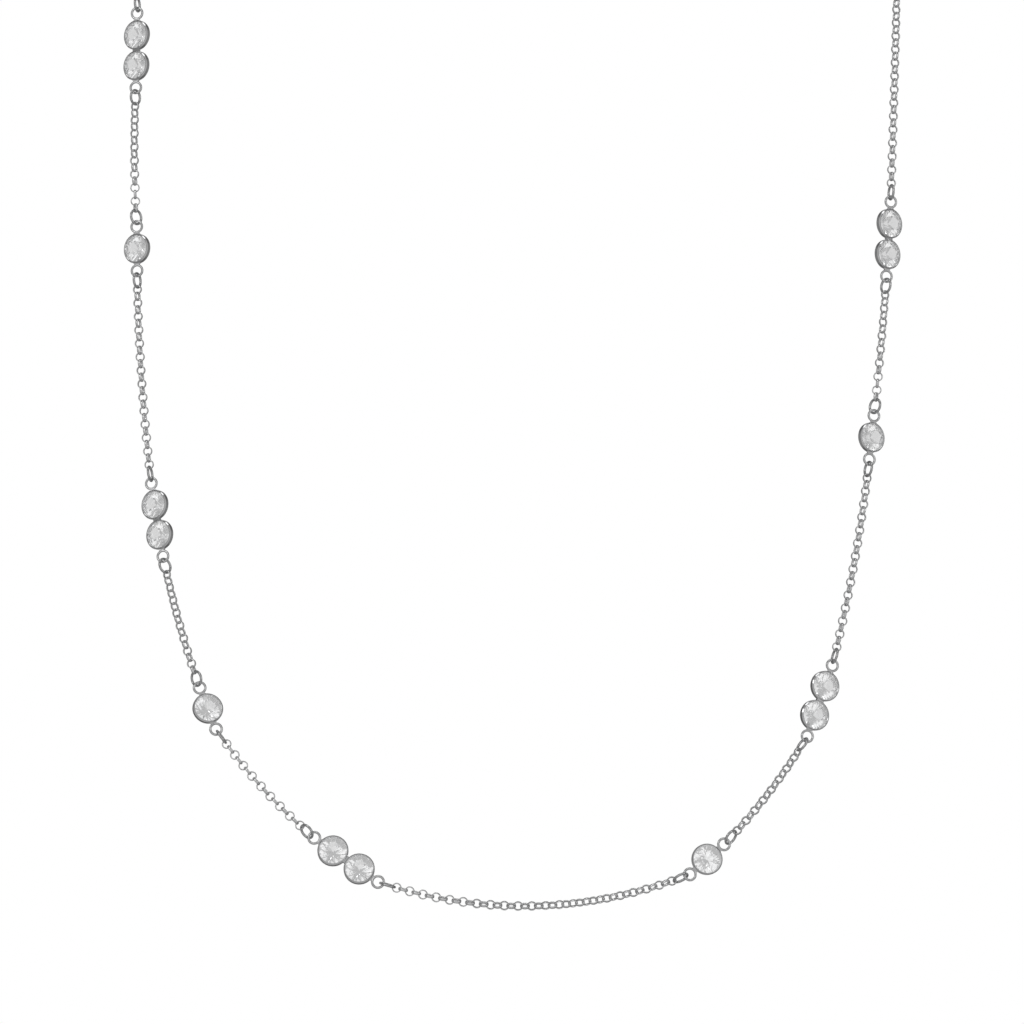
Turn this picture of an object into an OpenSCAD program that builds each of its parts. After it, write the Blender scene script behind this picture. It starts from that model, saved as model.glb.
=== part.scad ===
// Station necklace: clear round stones in thin open-backed bezels, one or two
// to a station, joined by fine round-link chain. It keeps the U of a worn
// necklace. Millimetres: X runs across, Y runs back and Z is up. The front
// faces -Y, and the origin is at the nape, where the closed loop hangs.

/* [Stones] */
// Diameter of a stone across its girdle
stone_d = 4.6; // [4.5:0.02:4.62]
// Width of the flat table, as a share of the diameter
table_share = 0.5; // [0.46:0.01:0.6]
// Height of the crown above the girdle
crown_h = 0.7; // [0.5:0.02:0.74]
// Depth of the pavilion below the girdle
pavilion_h = 1.93; // [1.75:0.01:2.0]
// Thickness of the girdle
girdle_h = 0.1; // [0.06:0.02:0.12]

/* [Settings] */
// Outer diameter of a bezel
bezel_d = 5.1; // [5.05:0.05:5.15]
// Height of a bezel, from its open back to the top of its rim
bezel_h = 0.9; // [0.85:0.05:1.3]
// Width of the rim that shows around a stone
rim_w = 0.3; // [0.28:0.01:0.32]
// Distance between the centres of a soldered pair
pair_pitch = 5.3; // [5.3:0.05:5.6]
// Width of the solder bridge inside a pair
bridge_w = 1.3; // [1:0.05:1.5]
// Outer diameter of the eye at each end of a setting
eye_d = 2.3; // [2.2:0.05:2.5]
// Wire of the eye
eye_wire = 0.4; // [0.32:0.02:0.42]
// Length of the solder neck between a bezel and its eye
neck_l = 0.1; // [0.1:0.05:0.4]
// Width of the solder neck where it leaves a bezel
flare_w = 1.35; // [0.8:0.05:1.5]
// Width of the solder neck where it meets its eye
neck_w = 0.8; // [0.5:0.05:0.9]

/* [Rings, chain and clasp] */
// Outer diameter of a jump ring
ring_d = 2.85; // [2.7:0.05:3]
// Wire of a jump ring
ring_wire = 0.42; // [0.32:0.02:0.44]
// Outer diameter of a chain link, which is the width of the chain
link_d = 1.62; // [1.5:0.02:1.7]
// Outer diameter of the clasp's ring
clasp_d = 6; // [5.6:0.1:7]
// Thickness of the clasp's ring
clasp_wire = 1.1; // [0.9:0.05:1.2]

/* [How it hangs] */
// Radius that the front curves back on, seen from above
chest_r = 115; // [105:1:125]
// Angle that the front leans back by, in degrees
lean = 5; // [3:0.5:8]
// Depth from the foremost point of the front to the nape
nape_back = 99; // [96:1:104]
// Height of the nape above the lowest point of the front
nape_up = 196; // [194:1:202]

/* [Hidden] */
// Room between two pieces that hold each other
gap = 0.08;
// Room between a stone and its metal
stone_gap = 0.04;
// Room between a jump ring and the end of the chain's solid
chain_gap = 0.16;
// A setting's eyes turn this share of the way that its bezels turn
eye_turn_share = 0.5;
smooth = 48;

// Columns of the table of stations. Across and up place the middle, from the
// lowest point of the front. Heading is the way the chain runs, in degrees, and
// slope is how far it runs back on the way. Turn is how far the bezels face
// outward, in degrees.
ACROSS = 0;
UP = 1;
HEADING = 2;
SLOPE = 3;
STONES = 4;
TURN = 5;
// From the top left round to the top right
STATIONS = [
    [-65, 143.6, -90.5, -0.08, 2, 32],
    [-64.6, 109.4, -89, -0.1, 1, 31],
    [-60.5, 63.2, -79.5, -0.26, 2, 28],
    [-51.3, 31.8, -67, -0.25, 1, -24],
    [-27.8, 7.6, -33.5, -0.2, 2, -20],
    [31.3, 7.6, 40, 0.22, 1, -4],
    [50.6, 33.1, 69, 0.28, 2, 19],
    [60.1, 77.1, 83, 0.2, 1, 31],
    [63.5, 111, 86, 0.12, 2, 33],
];

// Columns of the table of the chain's lengths between two stations. Bow is how
// far the middle hangs outside the straight line, and the turns are those of
// the first and the last jump ring, outward, in degrees.
BOW = 0;
FIRST_TURN = 1;
LAST_TURN = 2;
// In the same order
SPANS = [
    [0.35, -57, -52],
    [0.5, -68, -80],
    [0.4, -51, 44],
    [0.8, 88, 47],
    [4.2, 88, 59],
    [0.65, 53, -75],
    [0.6, -79, -68],
    [0.15, -52, -57],
];
// Outward turn of the jump ring at each upper end of the front
BACK_RING_TURN = -76;

// The way on from the front over the shoulder to the nape, on the right side.
// The left side mirrors it, and starts at the second point.
BACK_ROUTE = [
    [65.4, -65, -41.5],
    [65, -61.5, -31],
    [62, -51, -20.5],
    [54.5, -36, -12],
    [41, -19, -6],
    [22, -5.5, -1.5],
];
// Steps between two points of the back route
back_steps = 3;
// Longest step between two rings of a front chain's solid
front_step = 7.2;
chain_sides = 8;

stations = len(STATIONS);
spans = len(SPANS);
function across(i) = STATIONS[i][ACROSS];
function up(i) = STATIONS[i][UP];
function heading(i) = STATIONS[i][HEADING];
function slope(i) = STATIONS[i][SLOPE];
function stones(i) = STATIONS[i][STONES];
function turn(i) = STATIONS[i][TURN];

bezel_r = bezel_d / 2;
stone_r = stone_d / 2;
eye_r = eye_d / 2;
// From a bezel's centre to the centre of its eye
eye_reach = bezel_r + neck_l + eye_r;
// Between the centres of two rings that hold each other
function held(d_a, wire_a, d_b, wire_b) = d_a / 2 - wire_a + d_b / 2 - wire_b - gap;
ring_step = held(eye_d, eye_wire, ring_d, ring_wire);
// From the centre of a jump ring to the end of the chain's solid
chain_start = ring_d / 2 + chain_gap;
// From the clasp's centre to the centre of its eye, and to the ring it holds
clasp_eye_reach = clasp_d / 2 + neck_l + eye_r;
clasp_hold = held(clasp_d, clasp_wire, ring_d, ring_wire);

// Numbers of all the stones, rings and chains
stone_count = stones_before(stations);
ring_count = 2 * stations;
function stones_before(i) = i == 0 ? 0 : stones(i - 1) + stones_before(i - 1);

// Directions and places

function unit(v) = v / norm(v);

// The part of v that is square to the direction u
function square_to(v, u) = unit(v - (v * u) * u);

// The surface that the front lies on
function chest(x, z) = chest_r - sqrt(chest_r * chest_r - x * x) + z * tan(lean);
function worn(x, z) = [x, chest(x, z) - nape_back, z - nape_up];

// Way out of the front, square to the chain's direction u, turned outward
function facing(u, angle) =
    let (front = square_to([0, -1, 0], u))
    front * cos(angle) - cross(front, u) * sin(angle);

function station_place(i) = worn(across(i), up(i));
function station_way(i) = unit([cos(heading(i)), slope(i), sin(heading(i))]);

// Centre of the eye at the first end, side -1, or the last end, side 1
function eye_place(i, side) =
    station_place(i)
    + side * ((stones(i) - 1) * pair_pitch / 2 + eye_reach) * station_way(i);

// A point on span s, from 0 at its first eye to 1 at its last. It bows out
// as seen from the front, and follows the chest in depth.
function span_point(s, t) =
    let (
        a = eye_place(s, 1),
        b = eye_place(s + 1, -1),
        line = a + t * (b - a),
        out = unit([b.z - a.z, 0, a.x - b.x]),
        p = line + 4 * t * (1 - t) * SPANS[s][BOW] * out
    )
    [p.x, chest_depth(p) + (1 - t) * off_chest(a) + t * off_chest(b), p.z];
function chest_depth(p) = chest(p.x, p.z + nape_up) - nape_back;
function off_chest(p) = p.y - chest_depth(p);

// How far t moves for one millimetre near an end of a span
span_probe = 0.02;
function per_mm(s, end) =
    span_probe / norm(span_point(s, end) - span_point(s, abs(end - span_probe)));
function ring_t(s, end) = abs(end - ring_step * per_mm(s, end));
function span_way(s, t) = unit(span_point(s, t + span_probe) - span_point(s, t - span_probe));

// Sets its children at a place, X along the way u and Z out of the front
module set_at(place, u, n) {
    v = cross(n, u);
    multmatrix([
        [u.x, v.x, n.x, place.x],
        [u.y, v.y, n.y, place.y],
        [u.z, v.z, n.z, place.z],
    ])
    children();
}

module at_station(i) {
    set_at(station_place(i), station_way(i), facing(station_way(i), turn(i))) children();
}

// Round wire closed into a ring that lies flat
module wire_ring(d, wire) {
    rotate_extrude($fn = smooth)
    translate([(d - wire) / 2, 0])
    circle(d = wire, $fn = smooth);
}

// Stone: a round brilliant, eight-fold, with its girdle's middle at height 0

fold = 8;
star_share = 0.5;
lower_mid_share = 0.25;

function ring_points(r, z, first, n) =
    [for (k = [0:n - 1]) let (a = first + k * 360 / n) [r * cos(a), r * sin(a), z]];

// A facet plane that runs down from height h at r_in to 0 at r_out, read
// half a fold to the side, at radius r
function facet_height(h, r_in, r_out, r) =
    h * (r_out - r * cos(180 / fold)) / (r_out - r_in);

function brilliant_points() =
    let (
        table_r = stone_r * table_share,
        star_r = table_r + star_share * (stone_r - table_r),
        lower_r = stone_r * lower_mid_share,
        half = girdle_h / 2
    )
    concat(
        ring_points(table_r, half + crown_h, 0, fold),
        ring_points(star_r, half + facet_height(crown_h, table_r, stone_r, star_r), 180 / fold, fold),
        ring_points(stone_r, half, 0, 2 * fold),
        ring_points(stone_r, -half, 0, 2 * fold),
        ring_points(lower_r, -half - facet_height(pavilion_h, 0, stone_r, lower_r), 180 / fold, fold),
        [[0, 0, -half - pavilion_h]]
    );

// First number of each row of points above
table_row = 0;
star_row = fold;
top_row = 2 * fold;
bottom_row = 4 * fold;
lower_row = 6 * fold;
culet = 7 * fold;
function wrap(k, n) = (k + n) % n;

function brilliant_faces() = concat(
    [[for (k = [fold - 1:-1:0]) table_row + k]],
    [for (k = [0:fold - 1]) each [
        [table_row + k, table_row + wrap(k + 1, fold), star_row + k],
        [table_row + k, star_row + k, top_row + 2 * k, star_row + wrap(k - 1, fold)],
        [star_row + k, top_row + 2 * k + 1, top_row + 2 * k],
        [star_row + k, top_row + wrap(2 * k + 2, 2 * fold), top_row + 2 * k + 1],
        [bottom_row + 2 * k, bottom_row + 2 * k + 1, lower_row + k],
        [bottom_row + 2 * k + 1, bottom_row + wrap(2 * k + 2, 2 * fold), lower_row + k],
        [bottom_row + 2 * k, lower_row + k, culet, lower_row + wrap(k - 1, fold)],
    ]],
    [for (k = [0:2 * fold - 1]) [
        top_row + k, top_row + wrap(k + 1, 2 * fold),
        bottom_row + wrap(k + 1, 2 * fold), bottom_row + k,
    ]]
);

// Height of the girdle over the middle of the bezel
rim_over_girdle = 0.36;
girdle_up = bezel_h / 2 - rim_over_girdle;

// Places of a station's stones and bezels along it
function seats(i) = stones(i) == 1 ? [0] : [-pair_pitch / 2, pair_pitch / 2];

// Stones are numbered on from station to station
module stone(number) {
    for (i = [0:stations - 1])
        for (k = [0:stones(i) - 1])
            if (stones_before(i) + k + 1 == number)
                color("#e8eef2")
                at_station(i)
                translate([seats(i)[k], 0, girdle_up])
                polyhedron(brilliant_points(), brilliant_faces());
}

// Setting: bezels, the bridge in a pair, and an eye on a neck at each end

// Depth that the solder reaches into a bezel
solder_in = 0.14;
// Thickness of the solder, beside an eye as a share of its wire
solder_share = 0.8;
bridge_t = 0.5;
// The rim leans in over the crown by this slope at most
crown_slope = 1;
pavilion_slope = 0.95;
seat_w = 0.45;
// The rim is rounded over on the outside, and only just inside
outer_edge = 0.16;
edge = 0.05;

// Wall of a bezel in section, from its outer foot up and over the rim
module bezel_section() {
    half = bezel_h / 2;
    rim_r = bezel_r - rim_w;
    seat_r = bezel_r - seat_w;
    wall_r = stone_r + stone_gap;
    lip = girdle_up + girdle_h / 2 + crown_slope * (stone_r - rim_r) + stone_gap;
    seat = girdle_up - girdle_h / 2 - pavilion_slope * (stone_r - seat_r) - stone_gap;
    polygon([
        [bezel_r - edge, -half],
        [bezel_r, -half + edge],
        [bezel_r, half - outer_edge],
        [bezel_r - outer_edge, half],
        [rim_r + edge, half],
        [rim_r, half - edge],
        [rim_r, lip],
        [wall_r, girdle_up + girdle_h / 2 + stone_gap],
        [wall_r, girdle_up - girdle_h / 2 - stone_gap],
        [seat_r, seat],
        [seat_r, -half],
    ]);
}

// Solder as thick as is given, that narrows from one width to the other
module web(from, to, w_from, w_to, thick) {
    translate([0, 0, -thick / 2])
    linear_extrude(thick)
    polygon([[from, -w_from / 2], [to, -w_to / 2], [to, w_to / 2], [from, w_from / 2]]);
}

// An eye on its neck, on the side away from a body that ends at reach
module necked_eye(reach) {
    web(reach - solder_in, reach + neck_l + eye_wire / 2, flare_w, neck_w, solder_share * eye_wire);
    translate([reach + neck_l + eye_r, 0, 0]) wire_ring(eye_d, eye_wire);
}

module setting(i) {
    last = (stones(i) - 1) * pair_pitch / 2;
    color("#c9ccd0")
    at_station(i) {
        for (x = seats(i))
            translate([x, 0, 0]) rotate_extrude($fn = smooth) bezel_section();
        if (stones(i) > 1)
            web(bezel_r - last - solder_in, last - bezel_r + solder_in, bridge_w, bridge_w, bridge_t);
        rotate([-turn(i) * (1 - eye_turn_share), 0, 0]) {
            necked_eye(last + bezel_r);
            mirror([1, 0, 0]) necked_eye(last + bezel_r);
        }
    }
}

// Jump rings: number 1 is above the first station and the last is above the
// last station; the others stand at the two ends of each span

function back_eye(side) = side < 0 ? eye_place(0, -1) : eye_place(stations - 1, 1);
function back_first(side) = mirrored(BACK_ROUTE[side < 0 ? 1 : 0], side);
function back_way(side) = unit(back_first(side) - back_eye(side));
function mirrored(p, side) = [side * p.x, p.y, p.z];

module ring_on(place, u, angle) {
    color("#c9ccd0") set_at(place, u, facing(u, angle)) wire_ring(ring_d, ring_wire);
}

module back_jump_ring(side) {
    u = back_way(side);
    ring_on(back_eye(side) + ring_step * u, side * u, BACK_RING_TURN);
}

module jump_ring(number) {
    if (number == 1) back_jump_ring(-1);
    else if (number == ring_count) back_jump_ring(1);
    else {
        s = floor((number - 2) / 2);
        end = (number - 2) % 2;
        t = ring_t(s, end);
        ring_on(span_point(s, t), span_way(s, t), SPANS[s][end == 0 ? FIRST_TURN : LAST_TURN]);
    }
}

// Chains: each length is one eight-sided tube as wide as its links, swept
// through the points of its route

neck_axis_y = -55;
function way_at(p, k) = unit(p[min(k + 1, len(p) - 1)] - p[max(k - 1, 0)]);
function tube_ring(c, u) =
    let (n = square_to([c.x, c.y - neck_axis_y, 0], u), v = cross(n, u))
    [for (j = [0:chain_sides - 1])
        let (a = (j + 0.5) * 360 / chain_sides)
        c + link_d / 2 * (cos(a) * n + sin(a) * v)];

module chain_tube(p) {
    last = len(p) - 1;
    points = [for (k = [0:last]) each tube_ring(p[k], way_at(p, k))];
    walls = [for (k = [0:last - 1]) for (j = [0:chain_sides - 1])
        let (next = (j + 1) % chain_sides, low = k * chain_sides)
        [low + j, low + next, low + chain_sides + next, low + chain_sides + j]];
    caps = [
        [for (j = [chain_sides - 1:-1:0]) j],
        [for (j = [0:chain_sides - 1]) last * chain_sides + j],
    ];
    color("#b4b8bd") polyhedron(points, concat(walls, caps));
}

// Points of a front chain, between its two jump rings
function span_route(s) =
    let (
        first = (ring_step + chain_start) * per_mm(s, 0),
        end = 1 - (ring_step + chain_start) * per_mm(s, 1),
        steps = ceil(norm(span_point(s, end) - span_point(s, first)) / front_step)
    )
    [for (k = [0:steps]) span_point(s, first + (end - first) * k / steps)];

// A smooth curve through the points p, with n steps between each two
function blend(a, b, c, d, t) =
    0.5 * (2 * b + (c - a) * t + (2 * a - 5 * b + 4 * c - d) * t * t
        + (3 * b - a - 3 * c + d) * t * t * t);
function smooth_route(p, n) = concat(
    [for (k = [0:len(p) - 2]) for (j = [0:n - 1])
        blend(p[max(k - 1, 0)], p[k], p[k + 1], p[min(k + 2, len(p) - 1)], j / n)],
    [p[len(p) - 1]]
);

// Where the back chain ends beside the clasp: the clasp's eye and ring lie on
// the left, and the ring that it holds on the right
function nape_ring(side) = side < 0 ? -clasp_eye_reach - ring_step : clasp_hold;
function back_route(side) = concat(
    [back_eye(side) + (ring_step + chain_start) * back_way(side)],
    [for (k = [side < 0 ? 1 : 0:len(BACK_ROUTE) - 1]) mirrored(BACK_ROUTE[k], side)],
    [[nape_ring(side) + side * chain_start, 0, 0]]
);

module chain_back(side) {
    chain_tube(smooth_route(back_route(side), back_steps));
}

// Clasp: a plain ring with its eye and thumb knob, lying flat on the nape

knob_d = 0.9;
knob_h = 1.4;
nape_way = [1, 0, 0];
nape_out = [0, 1, 0];

module clasp() {
    color("#c9ccd0")
    set_at([0, 0, 0], nape_way, nape_out) {
        wire_ring(clasp_d, clasp_wire);
        mirror([1, 0, 0]) necked_eye(clasp_d / 2);
        rotate([90, 0, 0])
        translate([0, 0, (clasp_d - clasp_wire) / 2])
        cylinder(d = knob_d, h = knob_h, $fn = smooth);
    }
}

// The two rings beside the clasp stand on edge
module nape_jump_ring(side) {
    color("#c9ccd0")
    set_at([nape_ring(side), 0, 0], nape_way, [0, 0, 1]) wire_ring(ring_d, ring_wire);
}

for (k = [1:stone_count]) stone(k);
for (k = [1:stations]) setting(k - 1);
for (k = [1:ring_count]) jump_ring(k);
for (k = [1:spans])
    chain_tube(span_route(k - 1));
chain_back(-1);  // chain_left_back
chain_back(1);  // chain_right_back
clasp();
nape_jump_ring(-1);  // clasp_ring
nape_jump_ring(1);  // end_ring
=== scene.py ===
"""Looks of a worn station necklace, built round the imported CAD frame.

Metres: X runs across, Y runs back and Z is up. The front faces -Y, and the
origin is at the nape, where the closed loop hangs.
"""

import math
import random
from collections import namedtuple

import bpy
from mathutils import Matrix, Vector


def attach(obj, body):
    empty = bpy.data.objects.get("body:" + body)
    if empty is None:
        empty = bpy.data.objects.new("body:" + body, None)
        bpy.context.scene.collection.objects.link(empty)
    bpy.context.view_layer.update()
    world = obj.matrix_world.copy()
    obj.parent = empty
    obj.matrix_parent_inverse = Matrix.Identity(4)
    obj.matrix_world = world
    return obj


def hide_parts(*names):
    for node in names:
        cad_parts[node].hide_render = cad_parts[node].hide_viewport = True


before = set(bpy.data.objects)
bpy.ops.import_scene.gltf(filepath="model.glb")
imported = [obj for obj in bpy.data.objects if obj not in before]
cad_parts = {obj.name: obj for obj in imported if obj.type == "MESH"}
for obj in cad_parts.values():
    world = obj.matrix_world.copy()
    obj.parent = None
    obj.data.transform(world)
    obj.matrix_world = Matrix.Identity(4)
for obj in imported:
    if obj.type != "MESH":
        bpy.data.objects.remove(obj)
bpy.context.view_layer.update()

MM = 0.001
ROOT = "root"
FRONT = Vector((0, -1, 0))
UP = Vector((0, 0, 1))
QUARTER_TURN = 90
HALF_TURN = 180

# Sizes of the pieces that hold each other, as in the CAD part. The gap is the
# play between two of them.
BEZEL_D = 5.1 * MM
PAIR_PITCH = 5.3 * MM
EYE_D = 2.3 * MM
EYE_WIRE = 0.4 * MM
NECK_LENGTH = 0.1 * MM
RING_D = 2.85 * MM
RING_WIRE = 0.42 * MM
GAP = 0.08 * MM
CLASP_D = 6 * MM
CLASP_WIRE = 1.1 * MM
EYE_REACH = BEZEL_D / 2 + NECK_LENGTH + EYE_D / 2

# The chain's round links are of flat wire, thin outward and wide sideways. The
# end links have this much play in their rings, and all turn a few degrees loose.
LINK_D = 1.62 * MM
LINK_THICK = 0.2 * MM
LINK_WIDE = 0.44 * MM
LINK_ROUNDING = 2.5
RING_PLAY = 0.04 * MM
LINK_SEGMENTS = 24
WIRE_SIDES = 12
BACK_PITCH = 1.17 * MM
ROLL_SPREAD = 5
ROUTE_SAMPLES = 240
SHOULDER_SAMPLES = 40
SEED = 14

# How the front hangs: a curve round the chest that leans back
CHEST_R = 115 * MM
LEAN = math.radians(5)
NAPE_BACK = 99 * MM
NAPE_UP = 196 * MM
NECK_AXIS_Y = -55 * MM

# Across and up place a station's middle, from the lowest point of the front.
# Heading is the way the chain runs and slope how far it runs back on the way.
Station = namedtuple("Station", "across up heading slope stones")
STATIONS = [
    Station(-0.065, 0.1436, -90.5, -0.08, 2),
    Station(-0.0646, 0.1094, -89, -0.1, 1),
    Station(-0.0605, 0.0632, -79.5, -0.26, 2),
    Station(-0.0513, 0.0318, -67, -0.25, 1),
    Station(-0.0278, 0.0076, -33.5, -0.2, 2),
    Station(0.0313, 0.0076, 40, 0.22, 1),
    Station(0.0506, 0.0331, 69, 0.28, 2),
    Station(0.0601, 0.0771, 83, 0.2, 1),
    Station(0.0635, 0.111, 86, 0.12, 2),
]

# Bow is how far a length of chain hangs outside the straight line, steps are
# those from its first link to its last, the turns are those of its first and
# last jump ring, outward, and the skews are how far the first and last link
# miss a quarter turn to them. Ease says where the links' turning gathers: at
# the end above 1, evenly at 1 and at the start below 0.
Span = namedtuple("Span", "bow steps first_turn last_turn first_skew last_skew ease")
EVEN = 1
SPANS = [
    Span(0.00035, 15, -57, -52, 0, 30, 3),
    Span(0.0005, 26, -68, -80, 0, 0, 1),
    Span(0.0004, 15, -51, 44, 0, -30, 2),
    Span(0.0008, 16, 88, 47, 0, 30, 1),
    Span(0.0042, 41, 88, 59, 0, 0, 1),
    Span(0.00065, 15, 53, -75, 0, 30, 1),
    Span(0.0006, 26, -79, -68, 0, 0, 1),
    Span(0.00015, 15, -52, -57, 30, 0, -3),
]
BACK_RING_TURN = -76

# The way on over the right shoulder to the nape. The left side mirrors it, and
# starts at the second point.
BACK_ROUTE = [
    (0.0654, -0.065, -0.0415),
    (0.065, -0.0615, -0.031),
    (0.062, -0.051, -0.0205),
    (0.0545, -0.036, -0.012),
    (0.041, -0.019, -0.006),
    (0.022, -0.0055, -0.0015),
]

# The camera looks level along +Y, and one pixel of the 1024 pixel square is
# this wide at the foremost point of the front
PIXEL = 0.1625 * MM
IMAGE = 1024
SENSOR = 36
CAMERA_AWAY = 600 * MM
CAMERA_CLIP = 10 * MM
CENTRE_X = -0.65 * MM
CENTRE_UP = 64.51 * MM

FLOOR_R = 0.7
FLOOR_UP = -0.36
FLOOR_SIDES = 96

# The middle of the front, which the lamps face
MIDDLE = (0, -0.07, -0.12)
Lamp = namedtuple("Lamp", "name place width height brightness")
LAMPS = [
    Lamp("key", (-0.7, -0.9, 0.5), 0.4, 0.4, 1.6),
    Lamp("fill", (0.9, -0.5, 0.1), 0.2, 0.7, 1.3),
    Lamp("top", (0, -0.3, 0.8), 0.5, 0.3, 1.3),
]

# How bright the room is that the metal mirrors, by where a ray goes: straight out
# of the front at 0, sideways at a half and straight back at 1
METAL_ROOM = [
    (0, 0.5),
    (0.2, 0.42),
    (0.42, 0.22),
    (0.7, 0.25),
    (0.8, 0.13),
    (0.9, 0.15),
    (1, 0.45),
]
# How bright the room is that shows through the stones, in the same order
STONE_ROOM = [
    (0, 1),
    (0.02, 0.88),
    (0.05, 0.47),
    (0.2, 0.47),
    (0.34, 0.68),
    (0.6, 0.82),
    (0.8, 0.72),
    (1, 0.72),
]
# How far a soft noise shifts the stones' room, either way
STONE_ROOM_DRIFT = 0.06
# The stones bend light less than real ones, whose 2.16 would break it into finer
# patches than the photograph shows
STONE_IOR = 1.75
# Light is followed through this many reflections inside a stone
STONE_BOUNCES = 24

# Noise on a surface: how many patches it has to a metre, and how fine it gets
Grain = namedtuple("Grain", "scale detail")
TARNISH = Grain(900, 3)
POLISH = Grain(2600, 5)
WAVINESS = Grain(1500, 2)
WAVE_DEPTH = 0.012 * MM
STONE_TINT = Grain(500, 3)
STONE_POLISH = Grain(4000, 3)
FLOOR_PATCHES = Grain(4, 3)
ROOM_PATCHES = Grain(2, 1)
# Nearly all of a noise lies in these ranges, the second for tints
NOISE_RANGE = (0.3, 0.7)
TINT_RANGE = (0.35, 0.65)

# Colour from dark to light patches, and roughness from smooth to rough ones. The patches are
# tarnish. The whole range of the settings' silver, and still more the rings', is set darker
# than the links' as painted shade, though all three are the same metal.
Silver = namedtuple("Silver", "name dark light smooth rough")
SHADED_SETTING_SILVER = Silver("silver", (0.7, 0.705, 0.71, 1), (0.8, 0.8, 0.805, 1), 0.07, 0.2)
SHADED_RING_SILVER = Silver("ring_silver_painted_shade", (0.58, 0.585, 0.59, 1), (0.7, 0.7, 0.705, 1), 0.1, 0.24)
LINK_SILVER = Silver("link_silver", (0.86, 0.865, 0.87, 1), (0.94, 0.94, 0.945, 1), 0.12, 0.28)

WHITE = (1, 1, 1, 1)
STONE_FAINT = (0.965, 0.97, 0.975, 1)
STONE_SMOOTH = 0.03
STONE_ROUGH = 0.05
FLOOR_DARK = (0.86, 0.86, 0.86, 1)
FLOOR_LIGHT = (0.9, 0.9, 0.9, 1)
FLOOR_ROUGH = 0.7


def held(d_a, wire_a, d_b, wire_b, room):
    """Distance between the centres of two rings that hold each other."""
    return d_a / 2 - wire_a + d_b / 2 - wire_b - room


RING_STEP = held(EYE_D, EYE_WIRE, RING_D, RING_WIRE, GAP)
FIRST_LINK = held(RING_D, RING_WIRE, LINK_D, LINK_THICK, RING_PLAY)


# Directions and places


def square_to(v, u):
    """The part of v that is square to the direction u."""
    return (v - v.dot(u) * u).normalized()


def chest(x, z):
    """Depth of the front behind its foremost point."""
    return CHEST_R - math.sqrt(CHEST_R**2 - x**2) + z * math.tan(LEAN)


def worn(x, z):
    return Vector((x, chest(x, z) - NAPE_BACK, z - NAPE_UP))


def facing(u, angle):
    """Way out of the front, square to u, turned outward by degrees."""
    front = square_to(FRONT, u)
    turn = math.radians(angle)
    return front * math.cos(turn) - front.cross(u) * math.sin(turn)


def station_place(i):
    return worn(STATIONS[i].across, STATIONS[i].up)


def station_way(i):
    heading = math.radians(STATIONS[i].heading)
    return Vector((math.cos(heading), STATIONS[i].slope, math.sin(heading))).normalized()


def eye_place(i, side):
    """Centre of a station's eye at its first end, side -1, or its last, side 1."""
    reach = (STATIONS[i].stones - 1) * PAIR_PITCH / 2 + EYE_REACH
    return station_place(i) + side * reach * station_way(i)


def chest_depth(p):
    return chest(p.x, p.z + NAPE_UP) - NAPE_BACK


def span_point(s, t):
    """A point on span s, from 0 at its first eye to 1 at its last."""
    a, b = eye_place(s, 1), eye_place(s + 1, -1)
    out = Vector((b.z - a.z, 0, a.x - b.x)).normalized()
    p = a.lerp(b, t) + 4 * t * (1 - t) * SPANS[s].bow * out
    off = (1 - t) * (a.y - chest_depth(a)) + t * (b.y - chest_depth(b))
    return Vector((p.x, chest_depth(p) + off, p.z))


def mirrored(p, side):
    return Vector((side * p[0], p[1], p[2]))


def blend(a, b, c, d, t):
    """A smooth curve from b to c that heads for the points around them."""
    return 0.5 * (
        2 * b
        + (c - a) * t
        + (2 * a - 5 * b + 4 * c - d) * t**2
        + (3 * b - a - 3 * c + d) * t**3
    )


def smooth_route(points, steps):
    last = len(points) - 1
    route = [
        blend(
            points[max(k - 1, 0)],
            points[k],
            points[k + 1],
            points[min(k + 2, last)],
            j / steps,
        )
        for k in range(last)
        for j in range(steps)
    ]
    return route + [points[last]]


# Chain: separate round links, each held by its neighbours


def running_lengths(route):
    lengths = [0.0]
    for a, b in zip(route, route[1:]):
        lengths.append(lengths[-1] + (b - a).length)
    return lengths


def resampled(route, steps, inset):
    """Points in even steps along a route that starts and ends an inset inside it."""
    lengths = running_lengths(route)
    span = lengths[-1] - 2 * inset
    points, k = [], 0
    for i in range(steps + 1):
        at = inset + span * i / steps
        while lengths[k + 1] < at and k + 2 < len(lengths):
            k += 1
        share = (at - lengths[k]) / (lengths[k + 1] - lengths[k])
        points.append(route[k].lerp(route[k + 1], share))
    return points


def ways(points):
    last = len(points) - 1
    return [
        (points[min(k + 1, last)] - points[max(k - 1, 0)]).normalized() for k in range(last + 1)
    ]


def roll_of(normal, reference, way):
    """Angle of a ring's normal round the way, from the reference, in degrees."""
    return math.degrees(math.atan2(normal.dot(way.cross(reference)), normal.dot(reference)))


def eased(share, ease):
    """A share of the way, gathered at the end, or at the start if ease is negative."""
    return share**ease if ease > 0 else 1 - (1 - share) ** -ease


def link_rolls(count, first, last, ease, dice):
    """Rolls of the links: a quarter turn from each to the next, and from the
    ring before the first and after the last, with the rest eased in."""
    rest = (last - first - QUARTER_TURN * count) % HALF_TURN - QUARTER_TURN
    rolls = []
    for k in range(count):
        share = k / (count - 1)
        loose = dice.uniform(-ROLL_SPREAD, ROLL_SPREAD) * math.sin(math.pi * share)
        rolls.append(first + QUARTER_TURN * (k + 1) + rest * eased(share, ease) + loose)
    return rolls


def wire_section():
    """Outward and sideways places round the link's flat, rounded wire."""
    def rounded(value):
        return math.copysign(abs(value) ** (2 / LINK_ROUNDING), value)

    angles = [math.tau * (j + 0.5) / WIRE_SIDES for j in range(WIRE_SIDES)]
    return [
        (LINK_THICK / 2 * rounded(math.cos(b)), LINK_WIDE / 2 * rounded(math.sin(b)))
        for b in angles
    ]


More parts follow.
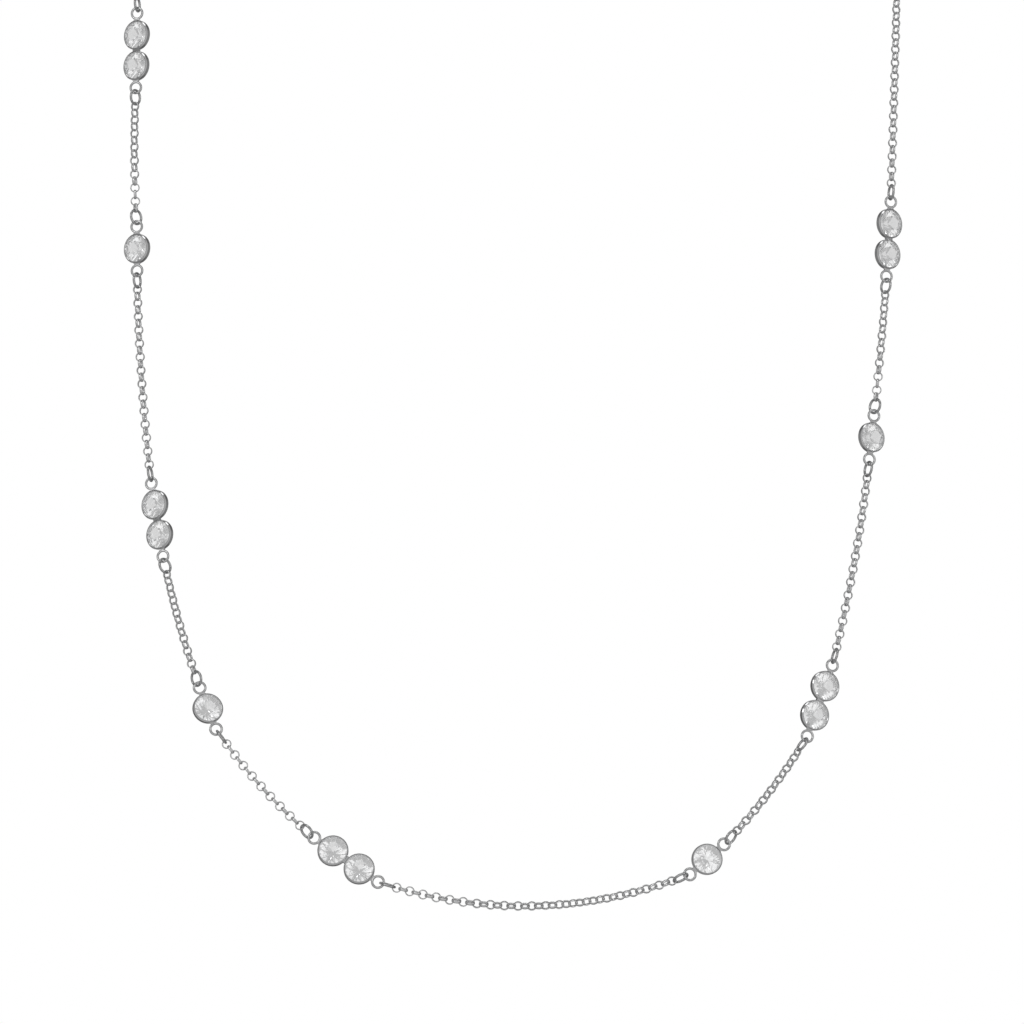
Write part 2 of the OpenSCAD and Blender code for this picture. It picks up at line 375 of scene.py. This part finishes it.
def add_link(verts, faces, centre, u, v):
    """Adds a round link in the plane of u and v."""
    n = u.cross(v)
    section = wire_section()
    sides = len(section)
    first = len(verts)
    for i in range(LINK_SEGMENTS):
        a = math.tau * i / LINK_SEGMENTS
        out = u * math.cos(a) + v * math.sin(a)
        for outward, sideways in section:
            verts.append(centre + out * ((LINK_D - LINK_THICK) / 2 + outward) + n * sideways)
    for i in range(LINK_SEGMENTS):
        here, after = first + i * sides, first + (i + 1) % LINK_SEGMENTS * sides
        for j in range(sides):
            k = (j + 1) % sides
            faces.append((here + j, after + j, after + k, here + k))


def mesh_object(name, verts, faces, smooth=True):
    mesh = bpy.data.meshes.new(name)
    mesh.from_pydata(verts, [], faces)
    mesh.polygons.foreach_set("use_smooth", [smooth] * len(mesh.polygons))
    mesh.update()
    obj = bpy.data.objects.new(name, mesh)
    bpy.context.scene.collection.objects.link(obj)
    return obj


def chain_links(name, route, steps, reference_at, first_normal, last_normal, ease, dice):
    """One length of chain, from the centre of its first ring to its last. The
    normals are those that its first and last link stand square to."""
    points = resampled(route, steps, FIRST_LINK)
    heads = ways(points)
    references = [square_to(reference_at(p), u) for p, u in zip(points, heads)]
    rolls = link_rolls(
        len(points),
        roll_of(first_normal, references[0], heads[0]),
        roll_of(last_normal, references[-1], heads[-1]),
        ease,
        dice,
    )
    verts, faces = [], []
    for p, u, reference, roll in zip(points, heads, references, rolls):
        angle = math.radians(roll)
        normal = reference * math.cos(angle) + u.cross(reference) * math.sin(angle)
        add_link(verts, faces, p, u, normal.cross(u))
    return mesh_object(name, verts, faces)


def front_chain(s, dice):
    """The chain between stations s and s + 1."""
    span = SPANS[s]
    dense = [span_point(s, k / ROUTE_SAMPLES) for k in range(ROUTE_SAMPLES + 1)]
    route = resampled(dense, ROUTE_SAMPLES, RING_STEP)
    first_way, last_way = ways(route)[0], ways(route)[-1]
    return chain_links(
        f"links_{s + 1}",
        route,
        span.steps,
        lambda p: FRONT,
        facing(first_way, span.first_turn + span.first_skew),
        facing(last_way, span.last_turn + span.last_skew),
        span.ease,
        dice,
    )


def back_chain(name, side, dice):
    """The chain from the top of the front over a shoulder to the nape."""
    eye = eye_place(0, -1) if side < 0 else eye_place(len(STATIONS) - 1, 1)
    points = [mirrored(p, side) for p in BACK_ROUTE[1 if side < 0 else 0:]]
    way = (points[0] - eye).normalized()
    clasp_eye = CLASP_D / 2 + NECK_LENGTH + EYE_D / 2
    hold = held(CLASP_D, CLASP_WIRE, RING_D, RING_WIRE, GAP)
    nape_ring = -clasp_eye - RING_STEP if side < 0 else hold
    ends = eye + RING_STEP * way, Vector((nape_ring, 0, 0))
    route = smooth_route([ends[0]] + points + [ends[1]], SHOULDER_SAMPLES)
    steps = math.ceil((running_lengths(route)[-1] - 2 * FIRST_LINK) / BACK_PITCH)
    return chain_links(
        name,
        route,
        steps,
        lambda p: Vector((p.x, p.y - NECK_AXIS_Y, 0)),
        facing(side * way, BACK_RING_TURN),
        UP,
        EVEN,
        dice,
    )


# Materials


def node_material(name):
    material = bpy.data.materials.new(name)
    material.use_nodes = True
    tree = material.node_tree
    return material, tree, tree.nodes["Principled BSDF"]


def noise(tree, grain, place="Object"):
    """A noise of this grain by the object's own place, or by a ray's way."""
    where = tree.nodes.new("ShaderNodeTexCoord")
    texture = tree.nodes.new("ShaderNodeTexNoise")
    texture.inputs["Scale"].default_value = grain.scale
    texture.inputs["Detail"].default_value = grain.detail
    tree.links.new(where.outputs[place], texture.inputs["Vector"])
    return texture.outputs["Fac"]


def mapped(tree, value, source, target):
    """Maps a value from the source range to the target range."""
    node = tree.nodes.new("ShaderNodeMapRange")
    sockets = ("From Min", "From Max", "To Min", "To Max")
    for socket, number in zip(sockets, (*source, *target)):
        node.inputs[socket].default_value = number
    tree.links.new(value, node.inputs["Value"])
    return node.outputs["Result"]


def tint(tree, value, dark, light, result):
    """Colours a surface from dark to light by a noise value."""
    ramp = tree.nodes.new("ShaderNodeValToRGB")
    for element, position, colour in zip(ramp.color_ramp.elements, TINT_RANGE, (dark, light)):
        element.position = position
        element.color = colour
    tree.links.new(value, ramp.inputs["Fac"])
    tree.links.new(ramp.outputs["Color"], result)


def bump(tree, value, depth, result):
    node = tree.nodes.new("ShaderNodeBump")
    node.inputs["Distance"].default_value = depth
    tree.links.new(value, node.inputs["Height"])
    tree.links.new(node.outputs["Normal"], result)


def silver_material(silver):
    """Polished silver: faint waviness, tarnish in patches and a fine grain."""
    material, tree, shader = node_material(silver.name)
    shader.inputs["Metallic"].default_value = 1
    tint(tree, noise(tree, TARNISH), silver.dark, silver.light, shader.inputs["Base Color"])
    polish = mapped(tree, noise(tree, POLISH), NOISE_RANGE, (silver.smooth, silver.rough))
    tree.links.new(polish, shader.inputs["Roughness"])
    bump(tree, noise(tree, WAVINESS), WAVE_DEPTH, shader.inputs["Normal"])
    return material


def stone_material():
    """Clear cubic zirconia with a polish that isn't quite perfect."""
    material, tree, shader = node_material("cubic_zirconia")
    shader.inputs["Transmission Weight"].default_value = 1
    shader.inputs["IOR"].default_value = STONE_IOR
    tint(tree, noise(tree, STONE_TINT), STONE_FAINT, WHITE, shader.inputs["Base Color"])
    polish = mapped(tree, noise(tree, STONE_POLISH), NOISE_RANGE, (STONE_SMOOTH, STONE_ROUGH))
    tree.links.new(polish, shader.inputs["Roughness"])
    return material


def floor_material():
    material, tree, shader = node_material("pale_floor")
    tint(tree, noise(tree, FLOOR_PATCHES), FLOOR_DARK, FLOOR_LIGHT, shader.inputs["Base Color"])
    shader.inputs["Roughness"].default_value = FLOOR_ROUGH
    return material


# Studio


def softbox(lamp):
    """A rectangular lamp that faces the necklace and looks as bright as it says."""
    data = bpy.data.lights.new(lamp.name, "AREA")
    data.shape = "RECTANGLE"
    data.size = lamp.width
    data.size_y = lamp.height
    data.energy = lamp.brightness * math.pi * lamp.width * lamp.height
    obj = bpy.data.objects.new(lamp.name, data)
    obj.location = lamp.place
    way = Vector(MIDDLE) - Vector(lamp.place)
    obj.rotation_euler = way.to_track_quat("-Z", "Y").to_euler()
    bpy.context.scene.collection.objects.link(obj)


def brightness_curve(tree, value, stops):
    """Brightness by a value from 0 to 1, through (position, brightness) stops."""
    node = tree.nodes.new("ShaderNodeFloatCurve")
    node.mapping.use_clip = False
    points = node.mapping.curves[0].points
    for k, stop in enumerate(stops):
        point = points[k] if k < 2 else points.new(*stop)
        point.location = stop
        point.handle_type = "AUTO_CLAMPED"
    node.mapping.update()
    tree.links.new(value, node.inputs["Value"])
    return node.outputs["Value"]


def ray_depth(tree):
    """How far back the way of a ray goes, from 0 to the front to 1 to the back."""
    where = tree.nodes.new("ShaderNodeTexCoord")
    split = tree.nodes.new("ShaderNodeSeparateXYZ")
    tree.links.new(where.outputs["Generated"], split.inputs["Vector"])
    return mapped(tree, split.outputs["Y"], (-1, 1), (0, 1))


def calculated(tree, operation, first, second):
    node = tree.nodes.new("ShaderNodeMath")
    node.operation = operation
    tree.links.new(first, node.inputs[0])
    tree.links.new(second, node.inputs[1])
    return node.outputs["Value"]


def drifted(tree, value):
    """The value, shifted a little by a soft noise over the room."""
    drift = (-STONE_ROOM_DRIFT, STONE_ROOM_DRIFT)
    patches = noise(tree, ROOM_PATCHES, "Generated")
    return calculated(tree, "ADD", value, mapped(tree, patches, (0, 1), drift))


def glow(tree, brightness=None):
    """A white surrounding, as bright as the given output says, or plain white."""
    node = tree.nodes.new("ShaderNodeBackground")
    node.inputs["Color"].default_value = WHITE
    if brightness:
        tree.links.new(brightness, node.inputs["Strength"])
    return node.outputs["Background"]


def mixed(tree, share, first, second):
    node = tree.nodes.new("ShaderNodeMixShader")
    tree.links.new(share, node.inputs["Fac"])
    tree.links.new(first, node.inputs[1])
    tree.links.new(second, node.inputs[2])
    return node.outputs["Shader"]


def studio_world():
    """White behind the necklace for the camera, and light on the floor. The
    metal mirrors a room that is darker at the sides, and the stones show a
    lighter one."""
    world = bpy.data.worlds.new("studio")
    bpy.context.scene.world = world
    world.use_nodes = True
    tree = world.node_tree
    depth = ray_depth(tree)
    metal_room = glow(tree, brightness_curve(tree, depth, METAL_ROOM))
    stone_room = glow(tree, brightness_curve(tree, drifted(tree, depth), STONE_ROOM))

    ray = tree.nodes.new("ShaderNodeLightPath").outputs
    mirrored_or_through = mixed(tree, ray["Is Transmission Ray"], metal_room, stone_room)
    plain = calculated(tree, "MAXIMUM", ray["Is Camera Ray"], ray["Is Diffuse Ray"])
    seen = mixed(tree, plain, mirrored_or_through, glow(tree))
    tree.links.new(seen, tree.nodes["World Output"].inputs["Surface"])


def camera():
    data = bpy.data.cameras.new("camera")
    data.sensor_width = SENSOR
    data.lens = SENSOR * CAMERA_AWAY / (PIXEL * IMAGE)
    data.clip_start = CAMERA_CLIP
    obj = bpy.data.objects.new("camera", data)
    obj.location = (CENTRE_X, -NAPE_BACK - CAMERA_AWAY, CENTRE_UP - NAPE_UP)
    obj.rotation_euler = (math.pi / 2, 0, 0)
    bpy.context.scene.collection.objects.link(obj)
    bpy.context.scene.camera = obj


def floor():
    """A round pale floor, which the metal and the stones don't mirror."""
    corners = [
        (FLOOR_R * math.cos(a), FLOOR_R * math.sin(a), FLOOR_UP)
        for a in (math.tau * k / FLOOR_SIDES for k in range(FLOOR_SIDES))
    ]
    obj = mesh_object("floor", corners, [list(range(FLOOR_SIDES))], smooth=False)
    obj.data.materials.append(floor_material())
    obj.visible_glossy = False
    obj.visible_transmission = False


def follow_light_in_stones():
    """Keeps the stones clear: light that is dropped early leaves black flecks."""
    light = bpy.context.scene.cycles
    light.max_bounces = STONE_BOUNCES
    light.glossy_bounces = STONE_BOUNCES
    light.transmission_bounces = STONE_BOUNCES


def take_place(piece, node, metal):
    """Puts a length of links in the place of its plain solid."""
    piece.data.materials.append(metal)
    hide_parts(node)
    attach(piece, ROOT)


# Everything together

camera()
studio_world()
follow_light_in_stones()
floor()
for lamp in LAMPS:
    softbox(lamp)
bpy.context.scene.view_settings.view_transform = "Standard"

# The settings and the rings get darkened copies of the links' silver: painted shade
shaded_setting_metal = silver_material(SHADED_SETTING_SILVER)
shaded_ring_metal = silver_material(SHADED_RING_SILVER)
link_metal = silver_material(LINK_SILVER)
zirconia = stone_material()

dice = random.Random(SEED)
for s in range(len(SPANS)):
    take_place(front_chain(s, dice), f"chain_{s + 1}", link_metal)
for side, place in ((-1, "left_back"), (1, "right_back")):
    take_place(back_chain(f"links_{place}", side, dice), f"chain_{place}", link_metal)

for name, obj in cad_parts.items():
    if name.startswith("stone"):
        obj.data.materials[0] = zirconia
    elif "ring" in name:
        obj.data.materials[0] = shaded_ring_metal
    elif not name.startswith("chain"):
        obj.data.materials[0] = shaded_setting_metal
